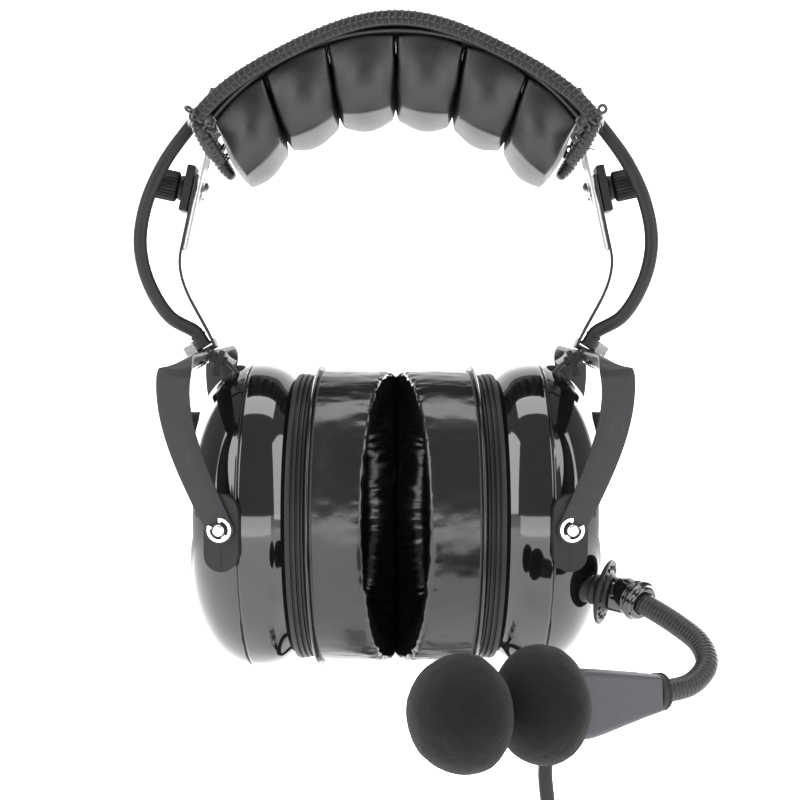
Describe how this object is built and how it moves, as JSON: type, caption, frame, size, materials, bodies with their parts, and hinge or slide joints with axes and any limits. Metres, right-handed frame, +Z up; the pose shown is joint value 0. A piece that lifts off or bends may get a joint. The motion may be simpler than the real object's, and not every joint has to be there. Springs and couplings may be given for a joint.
{
  "type": "headset microphone",
  "caption": "Over-ear headset with a padded headband, sliding and tilting ear cups, thick ear seals, a swinging gooseneck boom microphone with foam windscreens and a coiled lead.",
  "frame": {"origin": "where the crown of the wearer's head meets the underside of the headband cushion", "axes": "+Z up, wearer faces -Y, +X is the side that carries the boom microphone"},
  "size_m": [0.203, 0.225, 0.3214],
  "materials": {
    "leather": "soft black leatherette, satin",
    "seal_vinyl": "glossy black vinyl skin over foam, creased",
    "gloss_shell": "deep black moulded plastic with a high polish",
    "matte_plastic": "fine satin black moulding",
    "grey_plastic": "satin charcoal grey moulding",
    "black_metal": "black painted sheet steel, satin",
    "gooseneck_metal": "black-plated wound steel gooseneck",
    "spring_steel": "bright brushed spring strip",
    "bright_steel": "bright plated steel",
    "rubber": "matt black flexible PVC and rubber",
    "foam": "open-cell black foam"
  },
  "bodies": {
    "headband": {"headband_spring": "spring_steel", "headband_cover": "leather", "headband_cushion": "leather"},
    "slider_left": {"slider_strap_left": "black_metal", "clamp_block_left": "matte_plastic", "swivel_bolt_left": "bright_steel", "cable_sleeve_left": "rubber", "arch_cable_left": "rubber"},
    "thumb_left": {"thumb_knob_left": "matte_plastic"},
    "yoke_left": {"yoke_left": "black_metal", "cable_clip_left": "rubber"},
    "cup_left": {"cup_inner_shell_left": "gloss_shell", "cup_outer_shell_left": "gloss_shell", "seal_plate_left": "matte_plastic", "speaker_driver_left": "matte_plastic", "damping_block_left": "foam", "pin_boss_front_left": "matte_plastic", "pin_boss_rear_left": "matte_plastic", "retaining_ring_front_left": "bright_steel", "retaining_ring_rear_left": "bright_steel", "ear_seal_left": "seal_vinyl"},
    "volume_left": {"volume_knob_left": "matte_plastic"},
    "slider_right": {"slider_strap_right": "black_metal", "clamp_block_right": "matte_plastic", "swivel_bolt_right": "bright_steel", "cable_sleeve_right": "rubber", "arch_cable_right": "rubber"},
    "thumb_right": {"thumb_knob_right": "matte_plastic"},
    "yoke_right": {"yoke_right": "black_metal", "cable_clip_right": "rubber"},
    "cup_right": {"cup_inner_shell_right": "gloss_shell", "cup_outer_shell_right": "gloss_shell", "seal_plate_right": "matte_plastic", "speaker_driver_right": "matte_plastic", "damping_block_right": "foam", "pin_boss_front_right": "matte_plastic", "pin_boss_rear_right": "matte_plastic", "retaining_ring_front_right": "bright_steel", "retaining_ring_rear_right": "bright_steel", "ear_seal_right": "seal_vinyl", "boom_stem": "matte_plastic", "cord_gland": "rubber", "cord_tube": "rubber", "cord_coil": "rubber", "plug_boot": "rubber", "plug_shell": "bright_steel"},
    "volume_right": {"volume_knob_right": "matte_plastic"},
    "boom": {"boom_disc": "matte_plastic", "boom_elbow": "matte_plastic", "gooseneck_lower": "gooseneck_metal"},
    "mic": {"gooseneck_upper": "gooseneck_metal", "mic_collar": "rubber", "mic_housing": "grey_plastic", "mic_capsule": "bright_steel", "windscreen_rear": "foam", "windscreen_front": "foam"}
  },
  "joints": [
    {"name": "slider_travel_left", "type": "slide", "parent": "headband", "child": "slider_left", "axis": [-0.2075, 0, -0.9782], "range_m": [0, 0.018]},
    {"name": "thumb_turn_left", "type": "hinge", "parent": "slider_left", "child": "thumb_left", "pos_m": [-0.07118, 0, -0.02527], "axis": [-0.9782, 0, 0.2075], "range_deg": [0, 540]},
    {"name": "cup_swivel_left", "type": "hinge", "parent": "slider_left", "child": "yoke_left", "pos_m": [-0.07312, 0, -0.0854], "axis": [-0.5, 0, 0.866], "range_deg": [0, 8]},
    {"name": "cup_tilt_left", "type": "hinge", "parent": "yoke_left", "child": "cup_left", "pos_m": [-0.05581, 0.00169, -0.14295], "axis": [0.1055, 0.9925, 0.0609], "range_deg": [-6, 6]},
    {"name": "volume_turn_left", "type": "hinge", "parent": "cup_left", "child": "volume_left", "pos_m": [-0.06291, 0.01064, -0.11237], "axis": [-0.9944, 0.1055, 0.0032], "range_deg": [0, 270]},
    {"name": "slider_travel_right", "type": "slide", "parent": "headband", "child": "slider_right", "axis": [0.2075, 0, -0.9782], "range_m": [0, 0.018]},
    {"name": "thumb_turn_right", "type": "hinge", "parent": "slider_right", "child": "thumb_right", "pos_m": [0.07118, 0, -0.02527], "axis": [0.9782, 0, 0.2075], "range_deg": [0, 540]},
    {"name": "cup_swivel_right", "type": "hinge", "parent": "slider_right", "child": "yoke_right", "pos_m": [0.07312, 0, -0.0854], "axis": [0.5, 0, 0.866], "range_deg": [-8, 0]},
    {"name": "cup_tilt_right", "type": "hinge", "parent": "yoke_right", "child": "cup_right", "pos_m": [0.05581, 0.00169, -0.14295], "axis": [-0.1055, 0.9925, 0.0609], "range_deg": [-6, 6]},
    {"name": "volume_turn_right", "type": "hinge", "parent": "cup_right", "child": "volume_right", "pos_m": [0.06291, 0.01064, -0.11237], "axis": [0.9944, 0.1055, 0.0032], "range_deg": [0, 270]},
    {"name": "boom_swing", "type": "hinge", "parent": "cup_right", "child": "boom", "pos_m": [0.07194, -0.0274, -0.16818], "axis": [0.9305, -0.3002, -0.2101], "range_deg": [-60, 20]},
    {"name": "boom_flex", "type": "hinge", "parent": "boom", "child": "mic", "pos_m": [0.10381, -0.0613, -0.18457], "axis": [-0.1119, 0.3884, -0.9147], "range_deg": [-12, 12]}
  ],
  "couplings": [
    {"joint": "cup_tilt_left", "follows": "cup_tilt_right", "ratio": 1}
  ]
}
